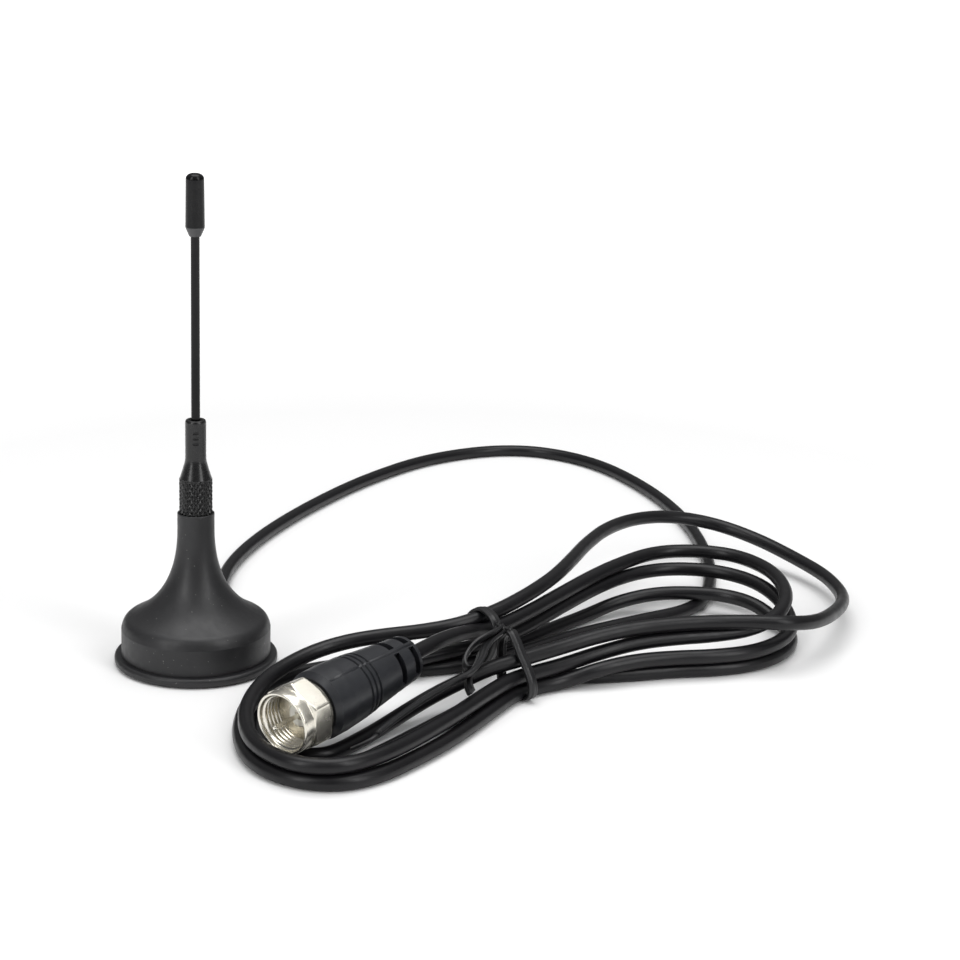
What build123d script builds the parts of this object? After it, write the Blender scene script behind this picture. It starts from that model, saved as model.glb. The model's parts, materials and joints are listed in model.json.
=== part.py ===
from build123d import *
import math
import os

# Miniature television whip antenna on a magnetic foot, with its coaxial lead wound into a tied
# hank and ending in a moulded screw-on F plug.
# Millimetres, +Z up.  The origin is the centre of the foot's underside.  The lead leaves the
# foot along +Y, goes round behind the hank and joins it from the right.

# ---- foot and neck ----
PAD_R = 13.4                 # soft pad under the foot
PAD_H = 0.85
FLANGE_R = 15.1              # widest ring of the foot
FLANGE_TOP = 1.9
FLANGE_LIFT = 0.25           # the flange rides this far above the floor
SHELL_R = 13.8               # straight wall of the cast-over shell
WALL_TOP = 6.87              # crease where the straight wall meets the shoulder
NECK_R = 3.4
NECK_TOP = 29.04
CAVITY_R = 12.35             # inside of the straight wall
RECESS_R = 3.12              # recess in the rim that the ferrule stands in
RECESS_Z = 26.95
NECK_BORE_R = 2.2
NECK_SHOULDER = 11.4         # underside of the neck, where the stud's head pulls up
LEAD_EXIT_Z = 4.8            # height of the lead's hole in the wall
LEAD_HOLE_R = 2.0
FIT = 0.02                   # gap between pieces that are fixed together

# ---- magnet stack ----
MAGNET_R = 10.2
MAGNET_TOP = 3.05
YOKE_TOP = 3.7

# ---- stud that carries the whip ----
STUD_R = 1.5
STUD_TOP = 32.6
STUD_HEAD_R = 2.75
STUD_HEAD_BOTTOM = 8.6
STUD_HEAD_TOP = 10.6

# ---- whip ----
FERRULE_BOTTOM = 28.6
KNURL_R = 3.03
KNURL_TOP = 35.6
CONE_TOP = 39.2
SLEEVE_R = 1.9
FERRULE_TOP = 46.6
FERRULE_BORE_R = 1.54        # 0.04 running clearance on the stud
FERRULE_BORE_TOP = 33.4
ROD_R = 0.8
ROD_BOTTOM = 41.0
ROD_TOP = 86.0
TIP_BOTTOM = 80.0
TIP_SHOULDER = 81.6
TIP_TOP = 91.2
TIP_R = 1.74

# ---- lead ----
LEAD_R = 1.4
FLOOR_Z = LEAD_R             # height of the lead's centre when it lies on the floor

# ---- plug, along its own axis: 0 at the nut's mouth, negative towards the lead ----
PLUG_MOUTH = (21.0, -50.1, 8.75)
PLUG_HEADING = 232.9         # direction the mouth points, in degrees from +X
PLUG_PITCH = 4.9             # how far the mouth dips, in degrees
NUT_COLLAR_R = 5.45
NUT_FLATS = 11.0
NUT_LENGTH = 7.3
NUT_THREAD_R = 4.45
BOOT_FRONT = -7.6
BOOT_REAR = -31.9
BOOT_R = 6.05
BOOT_REAR_R = 4.15
SLOT_STATIONS = (-25.95, -30.0)
SLOT_LENGTH = 1.35           # along the boot
SLOT_HALF_ANGLE = 38         # each slot takes up twice this, in degrees
SLOT_HEADINGS = (15, 105, 195, 285)
SLOT_FLOOR_R = 3.2
RING_STATIONS = ((-16.35, 5.80), (-17.55, 5.68), (-18.75, 5.55))
RING_DEPTH = 0.33
PIN_R = 0.42
PIN_ROOT_R = 0.9             # thicker part of the pin, inside its bush
PIN_SHOULDER = -4.2          # where the thin part starts, at the face of the bush
PIN_TIP = 1.8
BARREL_R = 3.2

# ---- hank ----
HANK_HALF_WIDTH = 1.5
# Middle line of the wound turns, seen from above, starting under the tie and going clockwise.
HANK_LINE = [
    (60.0, -15.5), (51.0, -31.0), (41.5, -47.5), (29.5, -57.5), (17.0, -53.5), (12.2, -40.0),
    (13.0, -22.0), (20.5, -9.5), (34.0, -3.6), (48.0, -0.6), (57.5, 7.0), (68.4, 21.5),
    (80.5, 37.0), (94.0, 48.0), (107.5, 45.5), (114.2, 31.0), (112.5, 12.5), (104.0, 2.5),
    (90.0, -1.5), (73.5, -6.5),
]
# Height of the stacked turns along X: two turns deep at the left end and four at the right.
HANK_TOP = [(5.0, 5.7), (23.0, 5.7), (50.0, 11.3), (125.0, 11.3)]

# Where the lead lies between the foot and the hank.
LEAD_ROUTE = [
    (0.0, 12.4, LEAD_EXIT_Z), (0.0, 18.5, LEAD_EXIT_Z), (-0.2, 26.5, 2.0), (-0.4, 37.5, FLOOR_Z),
    (-0.6, 53.0, FLOOR_Z), (3.5, 73.0, FLOOR_Z), (11.5, 96.0, FLOOR_Z), (23.5, 122.0, FLOOR_Z),
    (39.5, 145.5, FLOOR_Z), (61.0, 157.5, FLOOR_Z), (80.0, 148.0, FLOOR_Z),
    (93.0, 124.0, FLOOR_Z), (100.5, 97.0, FLOOR_Z), (102.8, 70.0, FLOOR_Z),
    (100.6, 47.2, FLOOR_Z),
]
# The widest loop, which springs off the top of the stack and comes back onto it.
LOOP_ROUTE = [
    (71.5, 25.5, 9.6), (74.5, 38.0, 11.6), (80.5, 53.0, 11.9), (91.0, 67.0, 10.2),
    (104.5, 70.0, 8.2), (117.0, 60.5, 6.2), (126.0, 45.0, 4.4), (127.5, 30.0, 4.0),
    (120.0, 16.5, 7.2), (107.0, 5.5, 12.9), (96.0, 1.0, 12.9), (86.0, -1.5, 10.0),
]
# From the back of the plug to the upper side of the hank.
TAIL_ROUTE = [
    (40.2, -24.7, 11.48), (43.8, -19.95, 12.0), (46.8, -14.0, 11.4), (51.0, -5.2, 9.7),
    (53.4, -0.1, 8.6),
]

# ---- twist tie ----
TIE_WIDTH = 2.4
TIE_THICKNESS = 0.55
UPPER_TIE = (54.3, 3.9, 39.0)       # x, y and heading of the turns where the tie goes round them
LOWER_TIE = (61.8, -13.9, 41.0)
TIE_TAIL_ROUTE = [
    (52.9, -13.9, 12.1), (49.5, -20.5, 10.4), (46.2, -27.5, 8.4), (41.8, -36.3, 6.9),
    (38.2, -43.6, 6.7),
]


def ring(outer, inner, low, high):
    """A round washer or tube standing on +Z."""
    tube = Pos(0, 0, low) * Cylinder(outer, high - low, align=(Align.CENTER, Align.CENTER, Align.MIN))
    hole = Pos(0, 0, low) * Cylinder(inner, high - low, align=(Align.CENTER, Align.CENTER, Align.MIN))
    return tube - hole


def rod(radius, low, high):
    """A plain round bar standing on +Z."""
    return Pos(0, 0, low) * Cylinder(radius, high - low, align=(Align.CENTER, Align.CENTER, Align.MIN))


def turned(outline):
    """A solid turned about Z from a closed outline of (radius, height) points."""
    face = make_face(Polyline(*[(r, 0, z) for r, z in outline], close=True))
    return revolve(face, Axis.Z)


def corner_radii(route, closed=False):
    """The largest arc that each corner's two runs leave room for."""
    points = [Vector(*p) for p in route]
    count = len(points)
    corners = range(count) if closed else range(1, count - 1)
    radii = []
    for i in corners:
        before = points[i] - points[i - 1]
        after = points[(i + 1) % count] - points[i]
        turn = math.radians(before.get_angle(after))
        radii.append(0.45 * min(before.length, after.length) / math.tan(turn / 2))
    return radii


def cable(name, route, radius=LEAD_R):
    """A round cable along straight runs joined by tangent arcs."""
    radii = corner_radii(route)
    path = FilletPolyline(*route, radius=radii)
    start = Plane(origin=path @ 0, z_dir=path % 0)
    tube = sweep(start * Circle(radius), path=path)
    ideal = math.pi * radius**2 * path.length
    print(name, "length", round(path.length, 1), "radii", [round(r) for r in radii],
          "volume/ideal", round(tube.volume / ideal, 4))
    return tube


# ---------------------------------------------------------------- foot

def foot_pad():
    """Thin soft disc that grips the surface under the magnet."""
    return rod(PAD_R, 0, PAD_H)


def base_flange():
    """Moulded ring under the shell: rounded lip, recess for the pad, spigot cut away at the lead."""
    with BuildPart() as part:
        with BuildSketch(Plane.XZ):
            with BuildLine():
                Polyline((PAD_R + 0.1, FLANGE_LIFT), (14.5, FLANGE_LIFT))
                ThreePointArc((14.5, FLANGE_LIFT), (14.93, 0.42), (FLANGE_R, 0.85))
                Line((FLANGE_R, 0.85), (FLANGE_R, 1.25))
                ThreePointArc((FLANGE_R, 1.25), (14.91, 1.71), (14.45, FLANGE_TOP))
                Polyline((14.45, FLANGE_TOP), (CAVITY_R - 0.05, FLANGE_TOP), (CAVITY_R - 0.05, 2.9),
                         (11.3, 2.9), (11.3, PAD_H + FIT), (PAD_R + 0.1, PAD_H + FIT),
                         (PAD_R + 0.1, FLANGE_LIFT))
            make_face()
        revolve(axis=Axis.Z)
    lead_gap = Pos(0, 11.8, 2.9) * Box(6.0, 3.0, 1.9)
    return part.part - lead_gap


def magnet():
    """Ring magnet that holds the foot to steel."""
    return ring(MAGNET_R, 1.6, PAD_H + FIT, MAGNET_TOP)


def magnet_yoke():
    """Steel plate on the magnet: closes its field and is the lead's ground."""
    return ring(MAGNET_R, 1.6, MAGNET_TOP + FIT, YOKE_TOP)


def shell_profile():
    """Right half of the trumpet's section, with the hollow for the works."""
    with BuildSketch(Plane.XZ) as section:
        with BuildLine():
            Polyline((RECESS_R, RECESS_Z), (RECESS_R, NECK_TOP), (NECK_R - 0.12, NECK_TOP),
                     (NECK_R, NECK_TOP - 0.12), (NECK_R, 26.0))
            Bezier((NECK_R, 26.0), (NECK_R, 15.2), (8.2, 11.2), (12.3, 9.15))
            Bezier((12.3, 9.15), (13.3, 8.65), (13.5, 8.0), (SHELL_R, WALL_TOP))
            Polyline((SHELL_R, WALL_TOP), (SHELL_R, FLANGE_TOP + FIT),
                     (CAVITY_R, FLANGE_TOP + FIT), (CAVITY_R, 5.6), (9.4, 8.1), (6.8, 10.0),
                     (5.6, NECK_SHOULDER), (NECK_BORE_R, NECK_SHOULDER),
                     (NECK_BORE_R, RECESS_Z), (RECESS_R, RECESS_Z))
        make_face()
    return section.sketch


def base_shell():
    """Trumpet-shaped moulding: foot cover, neck and rim in one, with the lead's hole at its back."""
    shell = revolve(shell_profile(), Axis.Z)
    drill = Pos(0, 13, LEAD_EXIT_Z) * Rot(90, 0, 0) * Cylinder(LEAD_HOLE_R, 6)
    return shell - drill


def cable_grommet():
    """Short soft sleeve that fills the wall's hole round the lead, with a lip outside."""
    sleeve = Rot(-90, 0, 0) * ring(LEAD_HOLE_R - FIT, LEAD_R + FIT, 11.3, SHELL_R + FIT)
    lip = Rot(-90, 0, 0) * ring(LEAD_HOLE_R + 0.4, LEAD_R + FIT, SHELL_R + FIT, 14.5)
    return Pos(0, 0, LEAD_EXIT_Z) * (sleeve + lip)


def stud():
    """Screw that stands up through the neck: the whip threads onto its top."""
    shank = rod(STUD_R, STUD_HEAD_TOP, STUD_TOP - 0.4)
    point = Pos(0, 0, STUD_TOP - 0.2) * Cone(STUD_R, STUD_R - 0.35, 0.4)
    head = rod(STUD_HEAD_R, STUD_HEAD_BOTTOM, STUD_HEAD_TOP)
    slot = Pos(0, 0, STUD_HEAD_BOTTOM + 0.4) * Box(0.7, 6.0, 0.8)
    return shank + point + head - slot


def stud_bush():
    """Nylon sleeve that keeps the stud clear of the neck."""
    return ring(NECK_BORE_R - FIT, STUD_R + FIT, NECK_SHOULDER + 0.1, RECESS_Z - 0.05)


def stud_nut():
    """Round slotted nut that clamps the stud from above, at the bottom of the rim's recess."""
    nut = ring(RECESS_R - 0.07, STUD_R + FIT, RECESS_Z + FIT, 28.05)
    slots = Pos(0, 0, 27.9) * Box(7.0, 0.7, 0.6)
    return nut - slots


def spring_washer():
    """Split washer between the lug and the neck's shoulder."""
    washer = ring(STUD_HEAD_R, STUD_R + 0.05, 11.02, NECK_SHOULDER - FIT)
    return washer - Pos(2.2, 0, 11.2) * Box(2.0, 0.35, 1.0)


def solder_lug():
    """Ring terminal under the washer, with a tab for the lead's inner conductor."""
    eye = ring(STUD_HEAD_R, STUD_R + 0.05, STUD_HEAD_TOP + FIT, 11.0)
    tab = Pos(0, 3.9, (STUD_HEAD_TOP + FIT + 11.0) / 2) * Box(1.6, 2.8, 11.0 - STUD_HEAD_TOP - FIT)
    eyelet = Pos(0, 4.5, 10.8) * Cylinder(0.36, 2.0)
    return eye + tab - eyelet


def lead_inner_jacket():
    """Last stretch of jacket inside the shell."""
    return Pos(0, 0, LEAD_EXIT_Z) * Rot(-90, 0, 0) * rod(LEAD_R, 10.5, 12.4)


def cable_stop():
    """Crimped ring on the jacket that takes a pull on the lead."""
    return Pos(0, 0, LEAD_EXIT_Z) * Rot(-90, 0, 0) * ring(LEAD_R + 0.45, LEAD_R + FIT, 10.6, 11.2)


def lead_braid():
    """Woven screen, cut back from the jacket."""
    return Pos(0, 0, LEAD_EXIT_Z) * Rot(-90, 0, 0) * ring(1.0, 0.77, 8.6, 10.48)


def lead_dielectric():
    """White insulation round the inner conductor."""
    return Pos(0, 0, LEAD_EXIT_Z) * Rot(-90, 0, 0) * ring(0.75, 0.27, 6.2, 10.48)


def lead_core():
    """Inner conductor, bent up into the lug's eyelet."""
    route = [(0, 10.48, LEAD_EXIT_Z), (0, 4.5, LEAD_EXIT_Z), (0, 4.5, 11.2)]
    path = FilletPolyline(*route, radius=1.2)
    start = Plane(origin=path @ 0, z_dir=path % 0)
    return sweep(start * Circle(0.25), path=path)


def ground_strap():
    """Screen's tail, folded down to the yoke."""
    flat = Pos(2.4, 9.1, LEAD_EXIT_Z) * Box(2.7, 0.9, 0.4)
    drop = Pos(3.55, 9.1, 4.21) * Box(0.4, 0.9, 1.0)
    return (flat + drop) - Pos(0, 0, LEAD_EXIT_Z) * Rot(-90, 0, 0) * rod(1.02, 7, 12)


def ground_solder():
    """Bead of solder that joins the strap to the yoke."""
    bead = Pos(4.6, 8.2, YOKE_TOP + FIT) * Sphere(0.75)
    return bead & Pos(4.6, 8.2, YOKE_TOP + FIT + 1) * Box(4, 4, 2)


# ---------------------------------------------------------------- whip

def contact_washer():
    """Thin spring washer that stays under the ferrule as it unscrews."""
    return ring(RECESS_R - 0.22, STUD_R + 0.08, 28.25, FERRULE_BOTTOM - 0.05)


def whip_ferrule():
    """Knurled thimble that grips the rod and threads onto the stud."""
    body = turned([
        (FERRULE_BORE_R, FERRULE_BOTTOM), (KNURL_R - 0.2, FERRULE_BOTTOM),
        (KNURL_R, FERRULE_BOTTOM + 0.2), (KNURL_R, KNURL_TOP), (SLEEVE_R, CONE_TOP),
        (SLEEVE_R, FERRULE_TOP - 0.35), (SLEEVE_R - 0.3, FERRULE_TOP), (1.2, FERRULE_TOP),
        (ROD_R + FIT, FERRULE_TOP - 0.7), (ROD_R + FIT, ROD_BOTTOM - 0.1),
        (0.0, ROD_BOTTOM - 0.1), (0.0, FERRULE_BORE_TOP + 0.7), (FERRULE_BORE_R, FERRULE_BORE_TOP),
    ])
    return body


def whip_rod():
    """Sprung steel rod."""
    return rod(ROD_R, ROD_BOTTOM, ROD_TOP)


def tip_collar():
    """Tapered lower end of the tip."""
    return turned([
        (ROD_R + FIT, TIP_BOTTOM), (1.05, TIP_BOTTOM), (TIP_R - 0.05, TIP_SHOULDER - 0.15),
        (TIP_R - 0.05, TIP_SHOULDER), (ROD_R + FIT, TIP_SHOULDER),
    ])


def tip_cap():
    """Blind moulded cap over the end of the rod."""
    with BuildPart() as part:
        with BuildSketch(Plane.XZ):
            with BuildLine():
                Polyline((ROD_R + FIT, TIP_SHOULDER + FIT), (TIP_R, TIP_SHOULDER + FIT),
                         (TIP_R - 0.09, TIP_TOP - 1.2))
                Bezier((TIP_R - 0.09, TIP_TOP - 1.2), (TIP_R - 0.09, TIP_TOP - 0.4),
                       (1.05, TIP_TOP), (0, TIP_TOP))
                Polyline((0, TIP_TOP), (0, ROD_TOP + 0.1), (ROD_R + FIT, ROD_TOP + 0.1),
                         (ROD_R + FIT, TIP_SHOULDER + FIT))
            make_face()
        revolve(axis=Axis.Z)
    return part.part


# ---------------------------------------------------------------- plug

def on_plug(piece):
    """Moves a piece made along +Z onto the plug's axis."""
    return Location(PLUG_MOUTH) * Rot(0, 0, PLUG_HEADING) * Rot(0, 90 + PLUG_PITCH, 0) * piece


def coupling_nut():
    """Hexagonal nut with a round collar at its mouth; it turns freely on the plug's body."""
    hexagon = Pos(0, 0, -6.2) * extrude(RegularPolygon(NUT_FLATS / 2, 6, major_radius=False), 3.9)
    chamfers = turned([
        (0, -6.2), (5.5, -6.2), (6.4, -5.7), (6.4, -2.8), (5.5, -2.3), (0, -2.3),
    ])
    collar = rod(NUT_COLLAR_R, -2.3, 0)
    rear = rod(5.0, -NUT_LENGTH, -6.2)
    bore = rod(NUT_THREAD_R, -5.2, 1)
    mouth = Pos(0, 0, -0.3) * Cone(NUT_THREAD_R, NUT_THREAD_R + 0.6, 0.61)
    waist = rod(BARREL_R + 0.08, -8, -5)
    groove = ring(3.95, 3.0, -6.55, -5.95)
    return on_plug(((hexagon & chamfers) + collar + rear) - bore - mouth - waist - groove)


def retaining_ring():
    """Split ring that keeps the nut on the body."""
    hoop = ring(3.7, 3.0, -6.45, -6.05)
    return on_plug(hoop - Pos(3.4, 0, -6.25) * Box(2.0, 0.8, 1.0))


def connector_body():
    """Turned barrel: a flange inside the nut, a waist and a tail for the crimp."""
    body = turned([
        (2.0, -5.0), (3.95, -5.0), (4.25, -4.7), (4.25, -4.0), (2.0, -4.0),
    ])
    waist = ring(BARREL_R, 2.0, -17.5, -5.0)
    groove = ring(BARREL_R + 1, 2.97, -6.5, -6.0)
    return on_plug(body + waist - groove)


def plug_insulator():
    """White bush that centres the pin."""
    return on_plug(ring(2.0 - FIT, PIN_ROOT_R + FIT, -12.5, PIN_SHOULDER))


def centre_pin():
    """Stepped pin that enters the socket's contact."""
    root = rod(PIN_ROOT_R, -15.5, PIN_SHOULDER)
    pin = rod(PIN_R, PIN_SHOULDER, PIN_TIP - 0.25)
    point = Pos(0, 0, PIN_TIP - 0.125) * Cone(PIN_R, PIN_R - 0.2, 0.25)
    return on_plug(root + pin + point)


def crimp_sleeve():
    """Hexagon-crimped tube over the barrel's tail and the lead's screen."""
    outside = Pos(0, 0, -19.5) * extrude(RegularPolygon(3.75, 6, major_radius=False), 9.0)
    return on_plug((outside & rod(4.05, -19.5, -10.5)) - rod(BARREL_R + FIT, -20, -10))


def boot_lead():
    """Jacketed lead inside the boot."""
    return on_plug(rod(LEAD_R, BOOT_REAR + 0.1, -19.6))


def boot_dielectric():
    """Bared insulation that runs up into the barrel."""
    return on_plug(rod(0.75, -19.58, -15.55))


def boot_slots():
    """Two rows of curved slots that make the boot's tail flexible, with four bridges between them."""
    spread = 12 * math.tan(math.radians(SLOT_HALF_ANGLE))
    sector = make_face(Polyline((0, 0), (12, -spread), (12, spread), close=True))
    cutters = []
    for station in SLOT_STATIONS:
        band = ring(8.0, SLOT_FLOOR_R, station - SLOT_LENGTH / 2, station + SLOT_LENGTH / 2)
        for heading in SLOT_HEADINGS:
            wedge = Pos(0, 0, station - 1.5) * Rot(0, 0, heading) * extrude(sector, 3)
            cutters.append(band & wedge)
    return cutters


def boot_rings():
    """Outline points of the three grooves round the boot's waist."""
    points = []
    for station, radius in RING_STATIONS:
        points += [(radius, station + 0.3), (radius - RING_DEPTH, station + 0.17),
                   (radius - RING_DEPTH, station - 0.17), (radius - 0.04, station - 0.3)]
    return points


def plug_boot():
    """Moulded grip and strain relief: chamfered nose, ringed waist, slotted tail."""
    outline = [(BARREL_R + 0.05, BOOT_FRONT), (5.2, BOOT_FRONT), (BOOT_R, BOOT_FRONT - 1.0),
               (BOOT_R, -12.0)]
    outline += boot_rings()
    outline += [
        (5.4, -19.3), (4.75, -25.2), (BOOT_REAR_R, BOOT_REAR + 0.5), (BOOT_REAR_R - 0.5, BOOT_REAR),
        (LEAD_R + FIT, BOOT_REAR), (LEAD_R + FIT, -19.65), (4.1, -19.65), (4.1, -10.4),
        (BARREL_R + 0.05, -10.4),
    ]
    boot = turned(outline)
    for cutter in boot_slots():
        boot = boot - cutter
    return on_plug(boot)


# ---------------------------------------------------------------- hank and tie

def hank_band(half_width, top):
    """Upright band that follows the wound turns."""
    outline = FilletPolyline(*HANK_LINE, radius=corner_radii(HANK_LINE, closed=True), close=True)
    face = make_face(outline)
    outer = offset(face, half_width, kind=Kind.ARC)
    inner = offset(face, -half_width, kind=Kind.ARC)
    return extrude(outer - inner, top)


def cable_hank():
    """Outer shape of the stacked turns, with room for the tie and for the lead that enters it."""
    band = hank_band(HANK_HALF_WIDTH, 12.0)
    side = Polyline(*[(x, 0, z) for x, z in HANK_TOP], (125, 0, 0), (5, 0, 0), close=True)
    wedge = extrude(make_face(side), 120, both=True)
    hank = band & wedge
    for place in (UPPER_TIE, LOWER_TIE):
        hank = hank - tie_frame(place, TIE_THICKNESS + 0.1, TIE_WIDTH + 0.2)
    return hank


def tie_frame(place, thickness, width):
    """Rectangular loop round one side of the hank."""
    x, y, heading = place
    reach = 2 * (HANK_HALF_WIDTH + 0.2 + TIE_THICKNESS)
    outer = Pos(0, 0, 6.1) * Box(width, reach, 12.2)
    inner = Pos(0, 0, 6.1) * Box(width + 1, reach - 2 * thickness, 12.2 - 2 * thickness)
    return Pos(x, y, 0) * Rot(0, 0, heading) * (outer - inner)


def tie_upper_loop():
    """The tie's turn round the upper side of the hank."""
    return tie_frame(UPPER_TIE, TIE_THICKNESS, TIE_WIDTH)


def tie_lower_loop():
    """The tie's turn round the lower side of the hank."""
    return tie_frame(LOWER_TIE, TIE_THICKNESS, TIE_WIDTH)


def tie_twist():
    """Twisted middle of the tie, between its two turns."""
    route = [(56.0, 1.2, 11.7), (57.2, -5.0, 12.4), (59.6, -11.6, 11.7)]
    return cable("tie_twist", route, 0.7)


def tie_tail():
    """Loose end of the tie that lies across the lower turns."""
    return cable("tie_tail", TIE_TAIL_ROUTE, 0.6)


PARTS = {
    "foot_pad": foot_pad,
    "base_flange": base_flange,
    "magnet": magnet,
    "magnet_yoke": magnet_yoke,
    "base_shell": base_shell,
    "cable_grommet": cable_grommet,
    "stud": stud,
    "stud_bush": stud_bush,
    "stud_nut": stud_nut,
    "spring_washer": spring_washer,
    "solder_lug": solder_lug,
    "lead_inner_jacket": lead_inner_jacket,
    "cable_stop": cable_stop,
    "lead_braid": lead_braid,
    "lead_dielectric": lead_dielectric,
    "lead_core": lead_core,
    "ground_strap": ground_strap,
    "ground_solder": ground_solder,
    "contact_washer": contact_washer,
    "whip_ferrule": whip_ferrule,
    "whip_rod": whip_rod,
    "tip_collar": tip_collar,
    "tip_cap": tip_cap,
    "coupling_nut": coupling_nut,
    "retaining_ring": retaining_ring,
    "connector_body": connector_body,
    "plug_insulator": plug_insulator,
    "centre_pin": centre_pin,
    "crimp_sleeve": crimp_sleeve,
    "boot_lead": boot_lead,
    "boot_dielectric": boot_dielectric,
    "plug_boot": plug_boot,
    "lead_cable": lambda: cable("lead_cable", LEAD_ROUTE),
    "outer_loop": lambda: cable("outer_loop", LOOP_ROUTE),
    "plug_tail": lambda: cable("plug_tail", TAIL_ROUTE),
    "cable_hank": cable_hank,
    "tie_upper_loop": tie_upper_loop,
    "tie_lower_loop": tie_lower_loop,
    "tie_twist": tie_twist,
    "tie_tail": tie_tail,
}

os.makedirs("parts", exist_ok=True)
for node, make in PARTS.items():
    export_step(make(), f"parts/{node}.step")
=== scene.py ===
import json
import math

import bmesh
import bpy
from mathutils import Matrix, Vector


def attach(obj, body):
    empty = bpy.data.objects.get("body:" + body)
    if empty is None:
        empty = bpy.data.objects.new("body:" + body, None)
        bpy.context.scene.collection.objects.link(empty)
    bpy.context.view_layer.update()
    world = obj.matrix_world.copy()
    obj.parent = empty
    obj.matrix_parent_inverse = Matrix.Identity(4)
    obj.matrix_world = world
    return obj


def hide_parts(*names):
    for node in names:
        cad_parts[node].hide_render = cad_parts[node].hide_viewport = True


# Looks for the small magnetic-foot television antenna: the CAD nodes stay where they are and get
# materials, and the free cord, the nut, the ferrule and the wire tie are modelled here.
# Routes and sizes are written in millimetres and turned into metres by mm().

MM = 0.001

# ---- cord ----
CORD_D = 2.8 * MM

# ---- plug, along its own axis: 0 at the nut's mouth, negative towards the lead ----
PLUG_MOUTH = (21.0, -50.1, 8.75)
PLUG_HEADING = math.radians(232.9)
PLUG_PITCH = math.radians(4.9)
NUT_FLATS_R = 5.5
NUT_COLLAR_R = 5.45
NUT_REAR_R = 5.0
THREAD_MINOR_R = 4.4
THREAD_MAJOR_R = 4.9
THREAD_PITCH = 0.794
THREAD_START = -0.35
THREAD_END = -4.9
THREAD_STEP = 0.06           # spacing of the rows that draw the thread
NUT_SIDES = 192
SEAM_ANGLE = math.radians(150)   # round the boot from straight down

# ---- ferrule ----
KNURL_R = 3.03
KNURL_LOW = 28.85
KNURL_HIGH = 35.45
KNURL_COLUMNS = 20           # diamonds round the ferrule
KNURL_ROW = 1.5              # height of one diamond
KNURL_DEPTH = 0.28
FERRULE_SIDES = 352
SLEEVE_R = 1.9
CRIMP_HEADING = math.radians(278.0)
CRIMP_WIDTH = math.radians(34.0)
CRIMP_HEIGHTS = (42.4, 43.4, 44.4)
CRIMP_DEPTH = 0.13

# ---- wire tie ----
TIE_WIDTH = 2.0
TIE_FIN = 0.55               # thickness of the tie's flat edges
TIE_CORE = 0.8               # thickness over the wire
TWIST_WIDTH = 1.7
CURL_WIDTH = 1.9
LOOSE_WIDTH = 2.4            # the long loose end, flattened by the pull
LOOSE_CORE = 1.1
SHORT_WIDTH = 1.7
BARE_WIRE = (0.62, 0.4, 0.55)    # width, fin and core of the wire's bared tip
UPPER_HEADING = 39           # way the strands run through each turn, in degrees from +X
LOWER_HEADING = 41

# ---- light ----
FLOOR_CENTRE = (0.05, 0.04, 0.0)
FLOOR_GLOW_NEAR = 0.0
FLOOR_GLOW_FAR = 0.8
WORLD_LOW = 0.10
WORLD_HIGH = 0.45
TOP_RADIANCE = 3.2
SIDE_RADIANCE = 4.8
FLOOR_HALF = 6.0             # half the table's side

# ---- camera ----
CAMERA_PLACE = (0.0519, -0.3630, 0.1402)
CAMERA_TILT = math.radians(74.145)   # up from looking straight down
CAMERA_ROLL = math.radians(2.0655)
CAMERA_LENS = 77.54

# ---- the cord's route ----
# From the foot, round behind the hank and up to the tie.
LEAD = [
    (0, 12.4, 4.8), (0, 18.5, 4.8), (-0.2, 26.5, 2.0), (-0.4, 37.5, 1.4), (-0.6, 53, 1.4),
    (3.5, 73, 1.4), (11.5, 96, 1.4), (23.5, 122, 1.4), (39.5, 145.5, 1.4), (61, 157.5, 1.4),
    (80, 148, 1.4), (93, 124, 1.4), (100.5, 97, 1.4), (102.8, 70, 1.4), (101, 47.5, 1.4),
    (96, 34.5, 1.4), (84, 26.5, 1.4), (71, 16.6, 1.4), (61.5, 7.0, 1.4), (53.5, 0.9, 1.4),
]
# Each turn starts at the tie's upper loop and goes round the left end, then the right.
TURN_1 = [
    (46.5, -2.6, 1.4), (39, -5.0, 1.4), (31.5, -7.2, 1.4), (24.5, -10.8, 1.4), (19.2, -16.5, 1.4),
    (16.2, -23.5, 1.4), (15.3, -31, 1.4), (15.6, -38.2, 1.4), (17.6, -44.2, 1.4), (20.6, -48.8, 1.4),
    (25.0, -51.6, 1.4), (29.8, -51.6, 1.4), (34.2, -47.2, 1.4), (38.6, -41.0, 1.4), (43.2, -34.2, 1.4),
    (48.0, -27.0, 1.4), (52.6, -19.6, 1.4), (57.2, -12.8, 1.4), (62.0, -8.6, 1.4), (67.5, -5.0, 1.4),
    (74.5, -4.4, 1.4), (82.5, -2.2, 1.4), (90.0, 0.2, 1.4), (97.5, 1.6, 1.4), (105.0, 4.8, 1.4),
    (110.6, 10.2, 1.4), (113.8, 17.0, 1.4), (114.2, 23.4, 1.4), (112.0, 28.0, 2.4), (108.2, 32.6, 4.0),
    (102.8, 36.6, 4.2), (95.5, 37.4, 4.2), (88.0, 36.6, 4.0), (80.5, 34.0, 2.8), (74.0, 28.8, 1.4),
    (67.8, 21.4, 1.4), (61.5, 13.6, 1.4), (55.5, 7.0, 1.4),
]
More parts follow.
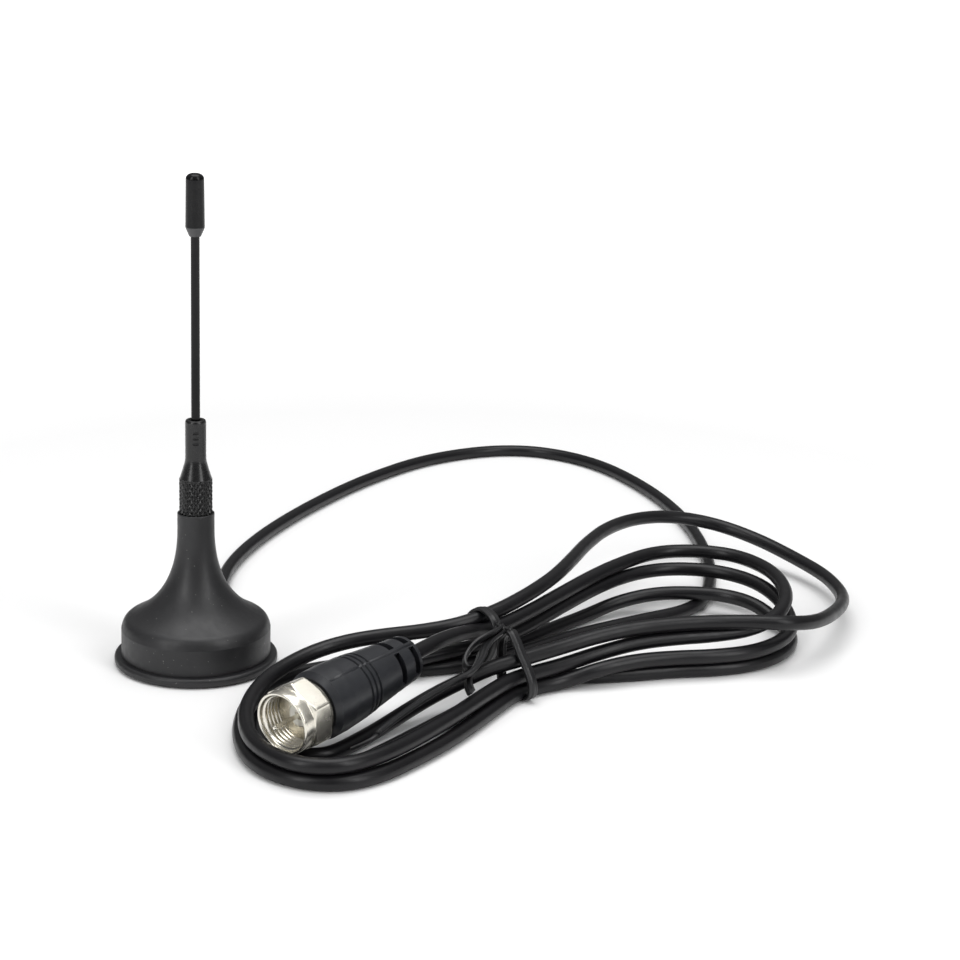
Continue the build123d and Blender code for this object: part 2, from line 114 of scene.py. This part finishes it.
TURN_2 = [
    (49.0, 3.0, 1.4), (41.5, 0.4, 1.4), (33.5, -1.8, 1.4), (25.0, -4.6, 1.4), (18.0, -9.6, 1.4),
    (14.0, -16.5, 1.4), (12.4, -24.5, 1.4), (12.2, -32.5, 1.4), (13.1, -40.2, 1.4), (15.4, -47.4, 1.4),
    (19.8, -53.0, 1.4), (26.0, -56.2, 1.4), (32.4, -55.8, 1.4), (37.8, -51.8, 1.4), (42.6, -45.4, 1.4),
    (47.2, -38.6, 1.4), (51.6, -30.6, 1.4), (55.6, -22.4, 1.4), (59.2, -15.2, 1.4), (63.8, -10.6, 1.4),
    (69.0, -7.8, 1.6), (75.0, -6.4, 3.6), (82.0, -3.0, 4.2), (89.5, -0.6, 4.2), (97.0, 0.8, 4.2),
    (104.5, 3.8, 4.2), (110.0, 9.2, 4.2), (113.4, 16.0, 4.2), (114.2, 23.4, 4.4), (113.2, 30.4, 5.6),
    (109.6, 37.0, 6.8), (104.0, 42.4, 7.0), (97.0, 44.6, 7.0), (89.0, 43.4, 7.0), (81.5, 37.6, 7.0),
    (75.0, 28.8, 7.0), (68.5, 18.8, 6.6), (62.0, 10.2, 5.4), (56.0, 4.4, 4.4),
]
# The third turn runs under the nut's collar and makes the widest loop at the right.
TURN_3 = [
    (49.5, -0.4, 4.2), (43.0, -4.6, 4.2), (37.0, -8.0, 3.4), (31.2, -10.6, 1.8), (25.6, -14.6, 1.4),
    (21.4, -20.5, 1.4), (19.0, -27.5, 1.4), (18.8, -34.0, 1.4), (19.5, -41.0, 1.4), (21.0, -43.7, 1.4),
    (23.5, -45.4, 1.4), (26.4, -45.6, 1.4), (29.1, -44.2, 1.4), (32.2, -39.6, 1.4), (36.4, -33.6, 1.8),
    (41.0, -28.4, 3.2), (45.2, -24.0, 4.4), (50.0, -19.4, 5.4), (55.0, -15.2, 6.5), (60.8, -11.4, 7.0),
    (67.6, -6.6, 7.6), (74.8, -2.6, 8.7), (82.0, 0.4, 9.4), (89.5, 2.4, 9.8), (97.0, 4.2, 9.8),
    (105.0, 5.2, 9.8), (111.6, 5.6, 9.6), (117.4, 11.4, 8.0), (122.2, 21.6, 6.2), (126.2, 33.0, 4.6),
    (127.4, 43.0, 3.6), (125.8, 53.4, 3.6), (121.0, 63.0, 4.0), (113.6, 71.2, 5.6), (104.4, 76.2, 7.4),
    (94.2, 74.2, 9.4), (85.6, 67.2, 10.6), (78.8, 55.6, 11.6), (74.0, 42.0, 12.2), (70.8, 30.6, 12.5),
    (67.0, 19.6, 12.4), (61.8, 10.8, 11.6), (55.6, 3.0, 10.6),
]
TURN_4 = [
    (48.8, -2.0, 9.6), (41.8, -3.6, 8.6), (35.0, -4.2, 7.8), (29.0, -5.4, 7.0), (23.4, -8.0, 6.0),
    (18.8, -12.4, 5.0), (15.4, -18.2, 4.3), (13.8, -25.0, 4.2), (13.2, -32.0, 4.2), (13.8, -39.0, 4.2),
    (15.4, -45.8, 4.2), (19.0, -51.6, 4.2), (24.0, -55.6, 4.2), (30.0, -56.2, 4.2), (35.2, -53.0, 4.2),
    (40.0, -47.4, 4.2), (44.8, -40.0, 4.2), (49.6, -31.6, 4.2), (54.2, -22.6, 4.2), (58.6, -15.0, 4.2),
    (63.4, -10.6, 4.2), (68.2, -7.2, 4.4), (75.0, -2.8, 5.4), (82.2, 0.2, 6.6), (89.5, 2.4, 7.0),
    (97.0, 4.6, 7.0), (104.4, 7.4, 7.4), (110.0, 12.6, 8.4), (112.8, 20.4, 9.4), (113.0, 29.0, 9.8),
    (111.2, 38.0, 9.8), (105.6, 46.2, 9.8), (97.4, 48.4, 9.8), (88.4, 46.2, 9.8), (80.2, 36.6, 9.8),
    (74.0, 27.2, 9.8), (67.8, 17.4, 9.4), (61.6, 8.2, 8.8), (56.2, 1.6, 8.2),
]
# From the tie into the back of the boot.
TAIL = [
    (53.0, -1.8, 8.5), (50.6, -6.4, 9.9), (47.4, -12.6, 11.2), (44.0, -19.3, 11.9), (40.3, -24.6, 11.46),
]

# ---- routes of the tie ----
UPPER_TURN = [
    (53.0, 1.1, 11.9), (54.5, -0.9, 11.8), (55.6, -2.9, 11.0), (56.2, -4.0, 8.6), (55.4, -3.0, 4.6),
    (53.6, -0.8, 1.0), (52.2, 1.0, 0.55), (49.6, 4.2, 0.55), (48.4, 5.7, 1.5), (48.9, 5.1, 4.6),
    (50.3, 3.6, 7.8), (51.6, 2.6, 10.7),
]
LOWER_TURN = [
    (58.4, -9.9, 11.6), (59.5, -11.6, 10.4), (60.5, -13.1, 8.4), (61.7, -14.8, 6.3), (62.6, -15.7, 3.9),
    (62.7, -15.5, 1.9), (61.9, -14.7, 0.7), (59.9, -12.3, 0.55), (57.9, -9.9, 0.6), (57.2, -9.0, 2.2),
    (57.0, -8.6, 6.2), (57.1, -8.4, 9.6),
]
TWIST = [
    (55.7, -3.2, 10.9), (56.6, -5.2, 10.6), (56.0, -7.6, 11.3), (57.4, -8.6, 11.7), (58.5, -10.1, 11.5),
]
CURL = [
    (56.6, -9.0, 11.9), (55.6, -12.6, 12.4), (53.8, -15.0, 12.2), (52.0, -17.0, 11.5),
    (50.8, -19.2, 10.6), (50.3, -21.2, 9.6), (50.8, -22.4, 8.8), (51.8, -22.0, 8.4),
]
TAIL_END = [
    (56.6, -9.8, 11.2), (54.8, -14.2, 11.2), (53.6, -18.2, 10.8), (53.0, -21.6, 10.2),
    (51.6, -25.2, 9.4), (48.9, -28.2, 8.8), (45.8, -32.2, 8.3), (42.2, -37.8, 7.8),
    (38.7, -44.0, 7.3), (36.4, -48.4, 6.9),
]
SHORT_END = [(51.7, -22.6, 8.7), (51.2, -25.0, 8.3), (51.2, -27.2, 7.7), (51.7, -29.0, 7.1)]
WIRE_TIP = [(37.0, -47.2, 7.0), (36.1, -49.2, 6.7), (34.4, -50.2, 6.0), (32.4, -50.8, 5.2)]


def mm(points):
    """Millimetres to metres."""
    return [tuple(c * MM for c in point) for point in points]


# ---------------------------------------------------------------- materials

def node(tree, kind, **inputs):
    """Adds a shader node and sets its plain inputs by name."""
    made = tree.nodes.new(kind)
    for name, value in inputs.items():
        made.inputs[name.replace("_", " ")].default_value = value
    return made


def spread(tree, source, low, high, start=0.3, end=0.7):
    """Stretches a noise's middle range to low..high."""
    span = tree.nodes.new("ShaderNodeMapRange")
    span.inputs["From Min"].default_value = start
    span.inputs["From Max"].default_value = end
    span.inputs["To Min"].default_value = low
    span.inputs["To Max"].default_value = high
    tree.links.new(source, span.inputs["Value"])
    return span.outputs["Result"]


def noise(tree, scale, detail=3.0, stretch=None):
    """Object-space noise; scale is in cells per metre, and stretch squeezes it along an axis."""
    place = tree.nodes.new("ShaderNodeTexCoord").outputs["Object"]
    if stretch:
        mapping = tree.nodes.new("ShaderNodeMapping")
        mapping.inputs["Scale"].default_value = stretch
        tree.links.new(place, mapping.inputs["Vector"])
        place = mapping.outputs["Vector"]
    texture = node(tree, "ShaderNodeTexNoise", Scale=scale, Detail=detail)
    tree.links.new(place, texture.inputs["Vector"])
    return texture.outputs["Fac"]


def mix_colour(tree, factor, first, second):
    """Blends two colours or colour outputs by a factor output."""
    blend = tree.nodes.new("ShaderNodeMix")
    blend.data_type = "RGBA"
    tree.links.new(factor, blend.inputs["Factor"])
    for socket, value in ((blend.inputs["A"], first), (blend.inputs["B"], second)):
        if isinstance(value, tuple):
            socket.default_value = value
        else:
            tree.links.new(value, socket)
    return blend.outputs["Result"]


def finish_material(name, dark, light, rough, grain, height, patch=140.0, metallic=0.0,
                    specular=0.5, stretch=None, dust=None):
    """One procedural finish.

    dark and light are the two ends of its tone, mixed in patches (cells per metre). rough is the
    range of its roughness. grain is the fineness of its bump in cells per metre and height the
    bump's depth in metres. dust is the spacing of pale specks in cells per metre.
    """
    made = bpy.data.materials.new(name)
    made.use_nodes = True
    tree = made.node_tree
    shader = tree.nodes["Principled BSDF"]
    shader.inputs["Metallic"].default_value = metallic
    shader.inputs["Specular IOR Level"].default_value = specular

    tone = spread(tree, noise(tree, patch), 0.0, 1.0)
    colour = mix_colour(tree, tone, dark + (1.0,), light + (1.0,))
    if dust:
        specks = spread(tree, noise(tree, dust, 1.0), 0.0, 1.0, 0.76, 0.79)
        colour = mix_colour(tree, specks, colour, (0.12, 0.118, 0.115, 1.0))
    tree.links.new(colour, shader.inputs["Base Color"])

    gloss = spread(tree, noise(tree, patch * 5.0, 4.0, stretch), rough[0], rough[1])
    tree.links.new(gloss, shader.inputs["Roughness"])

    bump = node(tree, "ShaderNodeBump", Strength=1.0, Distance=height)
    tree.links.new(noise(tree, grain, 4.0, stretch), bump.inputs["Height"])
    tree.links.new(bump.outputs["Normal"], shader.inputs["Normal"])
    return made


def make_materials():
    """A finish for each of the record's material slots."""
    make = finish_material
    return {
        "pad": make("pad", (0.020, 0.020, 0.021), (0.035, 0.035, 0.037), (0.75, 0.95), 2600, 5e-5),
        "abs_black": make("abs_black", (0.0110, 0.0110, 0.0122), (0.0150, 0.0150, 0.0165),
                          (0.40, 0.50), 5200, 5e-6, dust=2100.0),
        "ferrite": make("ferrite", (0.05, 0.05, 0.052), (0.10, 0.10, 0.105), (0.55, 0.75), 4200, 2e-5),
        "steel": make("steel", (0.48, 0.48, 0.49), (0.60, 0.60, 0.61), (0.24, 0.42), 3000, 5e-6,
                      metallic=1.0, stretch=(1, 1, 6)),
        "pvc_black": make("pvc_black", (0.010, 0.010, 0.011), (0.016, 0.016, 0.017), (0.42, 0.58),
                          3600, 8e-6, specular=0.4),
        "brass": make("brass", (0.62, 0.47, 0.22), (0.74, 0.60, 0.32), (0.20, 0.38), 3000, 5e-6,
                      metallic=1.0, stretch=(1, 1, 6)),
        "nylon": make("nylon", (0.80, 0.78, 0.70), (0.88, 0.87, 0.81), (0.35, 0.55), 2400, 8e-6),
        "tinned": make("tinned", (0.58, 0.58, 0.57), (0.74, 0.74, 0.72), (0.30, 0.48), 5200, 2e-5,
                       metallic=1.0),
        "cable_black": make("cable_black", (0.0045, 0.0043, 0.0052), (0.0070, 0.0067, 0.0080),
                            (0.30, 0.40), 3000, 6e-6, patch=90.0, specular=0.32),
        "black_metal": make("black_metal", (0.003, 0.003, 0.0035), (0.006, 0.006, 0.0065),
                            (0.24, 0.34), 3600, 1e-6, patch=420.0, specular=0.5),
        "rod_black": make("rod_black", (0.003, 0.003, 0.0035), (0.006, 0.006, 0.0065), (0.16, 0.26),
                          2600, 2e-6, specular=0.2),
        "tip_grey": make("tip_grey", (0.05, 0.05, 0.052), (0.08, 0.08, 0.083), (0.28, 0.42), 3000, 4e-6),
        "tip_black": make("tip_black", (0.003, 0.003, 0.0035), (0.006, 0.006, 0.0065), (0.16, 0.28),
                          1500, 1.0e-5, specular=0.2),
        "nickel": make("nickel", (0.78, 0.745, 0.65), (0.86, 0.83, 0.75), (0.20, 0.28), 1500, 4e-7,
                       patch=260.0, metallic=0.94),
        "boot_black": make("boot_black", (0.0135, 0.0145, 0.0175), (0.0185, 0.0200, 0.0240),
                           (0.32, 0.44), 2400, 8e-6, patch=160.0, specular=0.5),
        "tie_black": make("tie_black", (0.008, 0.008, 0.009), (0.013, 0.013, 0.014), (0.32, 0.46),
                          2600, 8e-6, specular=0.42),
    }


# ---------------------------------------------------------------- mesh helpers

def mesh_piece(name, points, faces, slot, body):
    """Makes a mesh object that rides on a body and wears the slot's finish."""
    mesh = bpy.data.meshes.new(name)
    mesh.from_pydata(mm(points), [], faces)
    shape = bmesh.new()
    shape.from_mesh(mesh)
    bmesh.ops.recalc_face_normals(shape, faces=shape.faces)
    shape.to_mesh(mesh)
    shape.free()
    mesh.shade_smooth()
    piece = bpy.data.objects.new(name, mesh)
    bpy.context.collection.objects.link(piece)
    mesh.materials.append(materials[slot])
    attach(piece, body)
    return piece


def wrap(rows, close_ends=False):
    """Faces of a grid whose rows each close on themselves; close_ends joins the last row to the first."""
    count, width = len(rows), len(rows[0])
    last = count if close_ends else count - 1
    faces = []
    for i in range(last):
        a, b = i * width, ((i + 1) % count) * width
        for j in range(width):
            k = (j + 1) % width
            faces.append((a + j, a + k, b + k, b + j))
    return faces


def smooth_route(points, parts, closed=False):
    """A Catmull-Rom line through the points, with each span cut into parts."""
    points = [Vector(p) for p in points]
    count = len(points)

    def pick(i):
        return points[i % count] if closed else points[max(0, min(count - 1, i))]

    line = []
    for i in range(count if closed else count - 1):
        p0, p1, p2, p3 = pick(i - 1), pick(i), pick(i + 1), pick(i + 2)
        for k in range(parts):
            t = k / parts
            line.append(0.5 * (2 * p1 + (p2 - p0) * t + (2 * p0 - 5 * p1 + 4 * p2 - p3) * t * t
                               + (3 * p1 - p0 - 3 * p2 + p3) * t ** 3))
    if not closed:
        line.append(points[-1].copy())
    return line


# ---------------------------------------------------------------- nut

def on_plug(radius, angle, along):
    """A point given round and along the plug's axis, in millimetres."""
    level = Vector((math.cos(PLUG_HEADING), math.sin(PLUG_HEADING), 0))
    side = Vector((-math.sin(PLUG_HEADING), math.cos(PLUG_HEADING), 0))
    axis = level * math.cos(PLUG_PITCH) + Vector((0, 0, -math.sin(PLUG_PITCH)))
    down = side.cross(axis)
    return (Vector(PLUG_MOUTH) + down * (radius * math.cos(angle)) + side * (radius * math.sin(angle))
            + axis * along)


def hexagon_radius(angle):
    """Radius of the nut's hexagon, with its corners slightly rounded."""
    sharpness = 70
    total = 0.0
    for k in range(6):
        lean = math.cos(angle - math.radians(30 + 60 * k))
        total += max(0.0, lean) ** sharpness
    return NUT_FLATS_R / total ** (1 / sharpness)


def thread_radius(angle, along):
    """Radius of the nut's inside thread at one point."""
    phase = (along / THREAD_PITCH + angle / math.tau) % 1.0
    ridge = 1 - abs(2 * phase - 1)
    ridge = ridge * ridge * (3 - 2 * ridge)
    fade = min(1.0, (THREAD_START - along) / 0.5, (along - THREAD_END) / 0.5)
    return THREAD_MAJOR_R - (THREAD_MAJOR_R - THREAD_MINOR_R) * ridge * max(0.0, fade)


def nut_rows():
    """Radius of every row of the nut as (function of angle, place along the axis)."""
    def plain(radius):
        return lambda angle: radius

    def capped(limit):
        return lambda angle: min(hexagon_radius(angle), limit)

    rows = [(plain(4.86), -0.30), (plain(4.95), -0.10), (plain(5.05), -0.02), (plain(5.2), 0.0),
            (plain(5.38), -0.05), (plain(NUT_COLLAR_R), -0.2), (plain(NUT_COLLAR_R), -1.6),
            (plain(NUT_COLLAR_R), -2.15), (plain(5.47), -2.24), (plain(5.5), -2.3)]
    rows += [(capped(limit), along) for limit, along in
             ((5.6, -2.33), (5.8, -2.41), (6.0, -2.52), (6.2, -2.65), (6.4, -2.82))]
    rows += [(capped(6.4), along) for along in (-3.0, -3.6, -4.3, -5.0, -5.5)]
    rows += [(capped(limit), along) for limit, along in
             ((6.4, -5.68), (6.2, -5.85), (6.0, -5.98), (5.8, -6.09), (5.6, -6.17))]
    rows += [(plain(5.5), -6.2), (plain(5.05), -6.2), (plain(NUT_REAR_R), -6.26),
             (plain(NUT_REAR_R), -7.1), (plain(4.9), -7.28), (plain(4.7), -7.3), (plain(3.4), -7.3),
             (plain(3.28), -7.2), (plain(3.28), -5.22), (plain(3.36), -5.2), (plain(4.7), -5.2),
             (plain(THREAD_MAJOR_R), -5.1), (plain(THREAD_MAJOR_R), THREAD_END - 0.02)]
    count = int((THREAD_START - THREAD_END) / THREAD_STEP)
    for k in range(count + 1):
        along = THREAD_END + k * THREAD_STEP
        rows.append((lambda angle, along=along: thread_radius(angle, along), along))
    return rows


def coupling_nut():
    """Nickel-plated hexagonal nut with its collar and a real inside thread."""
    grid = []
    for radius_at, along in nut_rows():
        row = []
        for j in range(NUT_SIDES):
            angle = math.tau * j / NUT_SIDES
            row.append(on_plug(radius_at(angle), angle, along))
        grid.append(row)
    points = [p for row in grid for p in row]
    nut = mesh_piece("nut", points, wrap(grid, close_ends=True), "nickel", "nut")
    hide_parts("coupling_nut")
    return nut


# ---------------------------------------------------------------- ferrule

def diamond(angle, z):
    """Height of the knurl's pattern, 0 in a groove and 1 on a diamond's flat top."""
    turn = KNURL_COLUMNS * angle / math.tau
    rise = z / KNURL_ROW
    tops = []
    for lane in (turn + rise, turn - rise):
        place = lane % 1.0
        tops.append(1 - abs(2 * place - 1))
    return min(1.0, 1.45 * min(tops))


def knurl_radius(angle, z):
    """Ferrule radius in the knurled band, sunk in the grooves between the diamonds."""
    return KNURL_R - KNURL_DEPTH * (1 - diamond(angle, z))


def sleeve_radius(angle, z):
    """Sleeve radius with the three short crimp marks pressed into its front."""
    off = (angle - CRIMP_HEADING + math.pi) % math.tau - math.pi
    across = max(0.0, 1 - (2 * off / CRIMP_WIDTH) ** 2)
    mark = max(math.exp(-((z - height) / 0.16) ** 2) for height in CRIMP_HEIGHTS)
    return SLEEVE_R - CRIMP_DEPTH * mark * across ** 0.5


def evenly(low, high, count):
    """Evenly spaced places from low to high, both ends included."""
    return [low + (high - low) * k / count for k in range(count + 1)]


def ferrule_rows():
    """Rows of the ferrule from the top of its bore, down, out, up the outside and into the rod."""
    def plain(radius, z):
        return (lambda angle: radius, z)

    rows = [plain(0.02, 34.1), plain(1.54, 33.4), plain(1.54, 28.75), plain(1.62, 28.62),
            plain(1.8, 28.6), plain(2.62, 28.6), plain(2.72, 28.66)]
    for z in evenly(KNURL_LOW, KNURL_HIGH, 92):
        rows.append((lambda angle, z=z: knurl_radius(angle, z), z))
    rows += [plain(2.94, 35.56), plain(2.90, 35.66), plain(2.66, 36.4), plain(2.35, 37.4),
             plain(2.08, 38.4), plain(1.95, 38.95), plain(SLEEVE_R + 0.01, 39.4),
             plain(SLEEVE_R, 40.2), plain(SLEEVE_R, 41.4)]
    for z in evenly(41.6, 45.2, 48):
        rows.append((lambda angle, z=z: sleeve_radius(angle, z), z))
    rows += [plain(SLEEVE_R, 45.6), plain(SLEEVE_R, 46.05), plain(1.87, 46.28), plain(1.78, 46.47),
             plain(1.66, 46.57), plain(1.52, 46.6), plain(1.28, 46.58), plain(1.16, 46.5),
             plain(0.92, 46.05), plain(0.84, 45.85), plain(0.83, 41.0), plain(0.78, 40.92),
             plain(0.02, 40.9)]
    return rows


def whip_ferrule():
    """Black-plated ferrule: diamond knurl, cone and a sleeve crimped on the rod."""
    grid = []
    for radius_at, z in ferrule_rows():
        row = []
        for j in range(FERRULE_SIDES):
            angle = math.tau * j / FERRULE_SIDES
            radius = radius_at(angle)
            row.append((radius * math.cos(angle), radius * math.sin(angle), z))
        grid.append(row)
    points = [p for row in grid for p in row]
    faces = [tuple(reversed(face)) for face in wrap(grid)]
    top = len(points) - FERRULE_SIDES
    faces.append(tuple(range(FERRULE_SIDES)))
    faces.append(tuple(range(len(points) - 1, top - 1, -1)))
    ferrule = mesh_piece("ferrule", points, faces, "black_metal", "whip")
    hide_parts("whip_ferrule")
    return ferrule


# ---------------------------------------------------------------- wire tie

def tie_section(width, fin, core):
    """Outline of the tie: two thin fins with the coated wire between them, as (across, out) pairs."""
    half, thin, wire = width / 2, fin / 2, core / 2
    upper = [(half, thin * 0.4), (half * 0.97, thin * 0.9), (half * 0.85, thin), (wire * 1.15, thin),
             (wire * 0.85, wire * 0.72), (wire * 0.45, wire * 0.95), (0.0, wire)]
    upper += [(-across, out) for across, out in reversed(upper[:-1])]
    return upper + [(across, -out) for across, out in reversed(upper)]


def strip(name, line, sides, width=TIE_WIDTH, fin=TIE_FIN, core=TIE_CORE, closed=False,
          slot="tie_black"):
    """Sweeps the tie's section along a line; sides gives the direction of its width at each point."""
    section = tie_section(width, fin, core)
    grid = []
    count = len(line)
    for i, place in enumerate(line):
        if closed:
            ahead, behind = line[(i + 1) % count], line[i - 1]
        else:
            ahead, behind = line[min(count - 1, i + 1)], line[max(0, i - 1)]
        tangent = (ahead - behind).normalized()
        side = sides[i] - tangent * sides[i].dot(tangent)
        side.normalize()
        out = tangent.cross(side)
        grid.append([place + side * across + out * rise for across, rise in section])
    points = [p for row in grid for p in row]
    faces = wrap(grid, close_ends=closed)
    if not closed:
        corners = len(section)
        faces.append(tuple(range(corners - 1, -1, -1)))
        faces.append(tuple(range(len(points) - corners, len(points))))
    return mesh_piece(name, points, faces, slot, "base")


def heading_vector(degrees):
    """Level direction at a heading from +X."""
    angle = math.radians(degrees)
    return Vector((math.cos(angle), math.sin(angle), 0))


def turned_sides(line, start, turns):
    """Width directions for an open strip that twists by a number of turns from a start angle."""
    sides = []
    for i in range(len(line)):
        ahead, behind = line[min(len(line) - 1, i + 1)], line[max(0, i - 1)]
        tangent = (ahead - behind).normalized()
        level = tangent.cross(Vector((0, 0, 1))).normalized()
        angle = math.radians(start) + math.tau * turns * i / (len(line) - 1)
        sides.append(Matrix.Rotation(angle, 3, tangent) @ level)
    return sides


def wire_tie():
    """The tie's two turns, the twist between them, and its two loose ends."""
    line = smooth_route(UPPER_TURN, 8, closed=True)
    upper = strip("tie_upper", line, [heading_vector(UPPER_HEADING)] * len(line), closed=True)
    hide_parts("tie_upper_loop")

    line = smooth_route(LOWER_TURN, 8, closed=True)
    lower = strip("tie_lower", line, [heading_vector(LOWER_HEADING)] * len(line), closed=True)
    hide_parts("tie_lower_loop")

    line = smooth_route(TWIST, 12)
    twist = strip("tie_knot", line, turned_sides(line, 20, 1.25), width=TWIST_WIDTH)
    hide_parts("tie_twist")

    line = smooth_route(CURL, 10)
    strip("tie_curl", line, turned_sides(line, 50, 0.12), width=CURL_WIDTH)

    line = smooth_route(TAIL_END, 10)
    loose = strip("tie_loose_end", line, turned_sides(line, 35, 0.05), width=LOOSE_WIDTH,
                  core=LOOSE_CORE)
    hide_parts("tie_tail")

    line = smooth_route(SHORT_END, 8)
    strip("tie_short_end", line, turned_sides(line, 50, 0.0), width=SHORT_WIDTH)

    line = smooth_route(WIRE_TIP, 6)
    width, fin, core = BARE_WIRE
    strip("tie_wire_tip", line, turned_sides(line, 0, 0.0), width, fin, core)


# ---------------------------------------------------------------- boot seam

def boot_seam():
    """Moulding line along the top of the boot."""
    outline = [
        (-8.8, 6.05), (-12.0, 6.05), (-16.0, 5.82), (-16.2, 5.49), (-16.5, 5.47), (-16.7, 5.76),
        (-17.2, 5.70), (-17.4, 5.37), (-17.7, 5.35), (-17.9, 5.64), (-18.4, 5.57), (-18.6, 5.24),
        (-18.9, 5.22), (-19.3, 5.4), (-25.2, 4.75), (-31.3, 4.17),
    ]
    line = [on_plug(radius, SEAM_ANGLE, along) for along, radius in outline]
    across = on_plug(1, SEAM_ANGLE - math.pi / 2, 0) - Vector(PLUG_MOUTH)
    strip("boot_seam", line, [across] * len(line), width=0.42, fin=0.16, core=0.22,
          slot="boot_black")


# ---------------------------------------------------------------- cord

def free_cord():
    """The whole lead, from the foot through the hank to the plug, as one open curve."""
    route = mm(LEAD + TURN_1 + TURN_2 + TURN_3 + TURN_4 + TAIL)
    data = bpy.data.curves.new("cord", "CURVE")
    data.dimensions = "3D"
    data.bevel_depth = CORD_D / 2
    data.bevel_resolution = 6
    data.resolution_u = 10
    data.use_fill_caps = True
    spline = data.splines.new("NURBS")
    spline.points.add(len(route) - 1)
    for point, place in zip(spline.points, route):
        point.co = (*place, 1.0)
    spline.order_u = 3
    spline.use_endpoint_u = True
    cord = bpy.data.objects.new("cord", data)
    bpy.context.collection.objects.link(cord)
    data.materials.append(materials["cable_black"])
    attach(cord, "base")
    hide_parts("lead_cable", "outer_loop", "plug_tail", "cable_hank")
    return cord


# ---------------------------------------------------------------- set

def floor():
    """Plain white table; away from the object it glows a little, so that it runs out to white."""
    mesh = bpy.data.meshes.new("floor")
    corners = [(x * FLOOR_HALF, y * FLOOR_HALF, 0) for x, y in ((-1, -1), (1, -1), (1, 1), (-1, 1))]
    mesh.from_pydata(corners, [], [(0, 1, 2, 3)])
    table = bpy.data.objects.new("floor", mesh)
    bpy.context.collection.objects.link(table)
    paint = bpy.data.materials.new("floor_white")
    paint.use_nodes = True
    tree = paint.node_tree
    shader = tree.nodes["Principled BSDF"]
    shader.inputs["Base Color"].default_value = (0.92, 0.92, 0.92, 1)
    shader.inputs["Roughness"].default_value = 0.9
    shader.inputs["Specular IOR Level"].default_value = 0.1
    shader.inputs["Emission Color"].default_value = (1, 1, 1, 1)
    place = tree.nodes.new("ShaderNodeTexCoord").outputs["Object"]
    reach = tree.nodes.new("ShaderNodeVectorMath")
    reach.operation = "DISTANCE"
    reach.inputs[1].default_value = FLOOR_CENTRE
    tree.links.new(place, reach.inputs[0])
    glow = spread(tree, reach.outputs["Value"], FLOOR_GLOW_NEAR, FLOOR_GLOW_FAR, 0.16, 0.7)
    tree.links.new(glow, shader.inputs["Emission Strength"])
    mesh.materials.append(paint)


def softbox(name, place, target, width, height, brightness):
    """Rectangular soft light at a place, aimed at a target; brightness is its radiance."""
    data = bpy.data.lights.new(name, "AREA")
    data.shape = "RECTANGLE"
    data.size = width
    data.size_y = height
    data.energy = brightness * math.pi * width * height
    lamp = bpy.data.objects.new(name, data)
    lamp.location = place
    aim = Vector(target) - Vector(place)
    lamp.rotation_euler = aim.to_track_quat("-Z", "Y").to_euler()
    bpy.context.collection.objects.link(lamp)


def studio():
    """Surroundings that are pale above and dim near the table, and three soft lights."""
    world = bpy.data.worlds.new("studio")
    world.use_nodes = True
    tree = world.node_tree
    sky = tree.nodes["Background"]
    sky.inputs["Color"].default_value = (1, 1, 1, 1)
    place = tree.nodes.new("ShaderNodeTexCoord").outputs["Generated"]
    split = tree.nodes.new("ShaderNodeSeparateXYZ")
    tree.links.new(place, split.inputs["Vector"])
    tree.links.new(spread(tree, split.outputs["Z"], WORLD_LOW, WORLD_HIGH, 0.1, 0.9),
                   sky.inputs["Strength"])
    bpy.context.scene.world = world
    softbox("light_top", (0.05, 0.10, 1.0), (0.05, 0, 0), 0.9, 0.7, TOP_RADIANCE)
    softbox("light_left", (-0.52, -0.68, 0.50), (0.0, 0, 0.03), 0.26, 0.8, SIDE_RADIANCE)
    softbox("light_right", (0.66, -0.50, 0.50), (0.05, 0, 0.03), 0.26, 0.8, SIDE_RADIANCE)
    bpy.context.scene.view_settings.view_transform = "Standard"


def camera():
    """Camera at the viewing angle of a product shot, 16 degrees above the table."""
    data = bpy.data.cameras.new("camera")
    data.sensor_width = 36.0
    data.lens = CAMERA_LENS
    data.clip_start = 0.01
    view = bpy.data.objects.new("camera", data)
    view.matrix_world = (Matrix.Translation(CAMERA_PLACE) @ Matrix.Rotation(CAMERA_TILT, 4, "X")
                         @ Matrix.Rotation(CAMERA_ROLL, 4, "Z"))
    bpy.context.collection.objects.link(view)
    bpy.context.scene.camera = view


# ---------------------------------------------------------------- build

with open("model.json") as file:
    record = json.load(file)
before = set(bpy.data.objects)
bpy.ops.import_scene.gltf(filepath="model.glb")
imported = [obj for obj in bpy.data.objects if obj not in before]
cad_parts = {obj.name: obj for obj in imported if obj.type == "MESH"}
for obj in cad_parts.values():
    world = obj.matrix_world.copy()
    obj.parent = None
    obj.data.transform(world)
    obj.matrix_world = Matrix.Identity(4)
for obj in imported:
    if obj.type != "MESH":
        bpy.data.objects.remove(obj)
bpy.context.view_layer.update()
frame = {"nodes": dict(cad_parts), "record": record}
materials = make_materials()
for part in frame["record"]["subparts"]:
    shown = frame["nodes"][part["node"]]
    shown.data.materials.clear()
    shown.data.materials.append(materials[part["material_slot"]])

cord = free_cord()
nut = coupling_nut()
whip_ferrule()
wire_tie()
boot_seam()
floor()
studio()
camera()
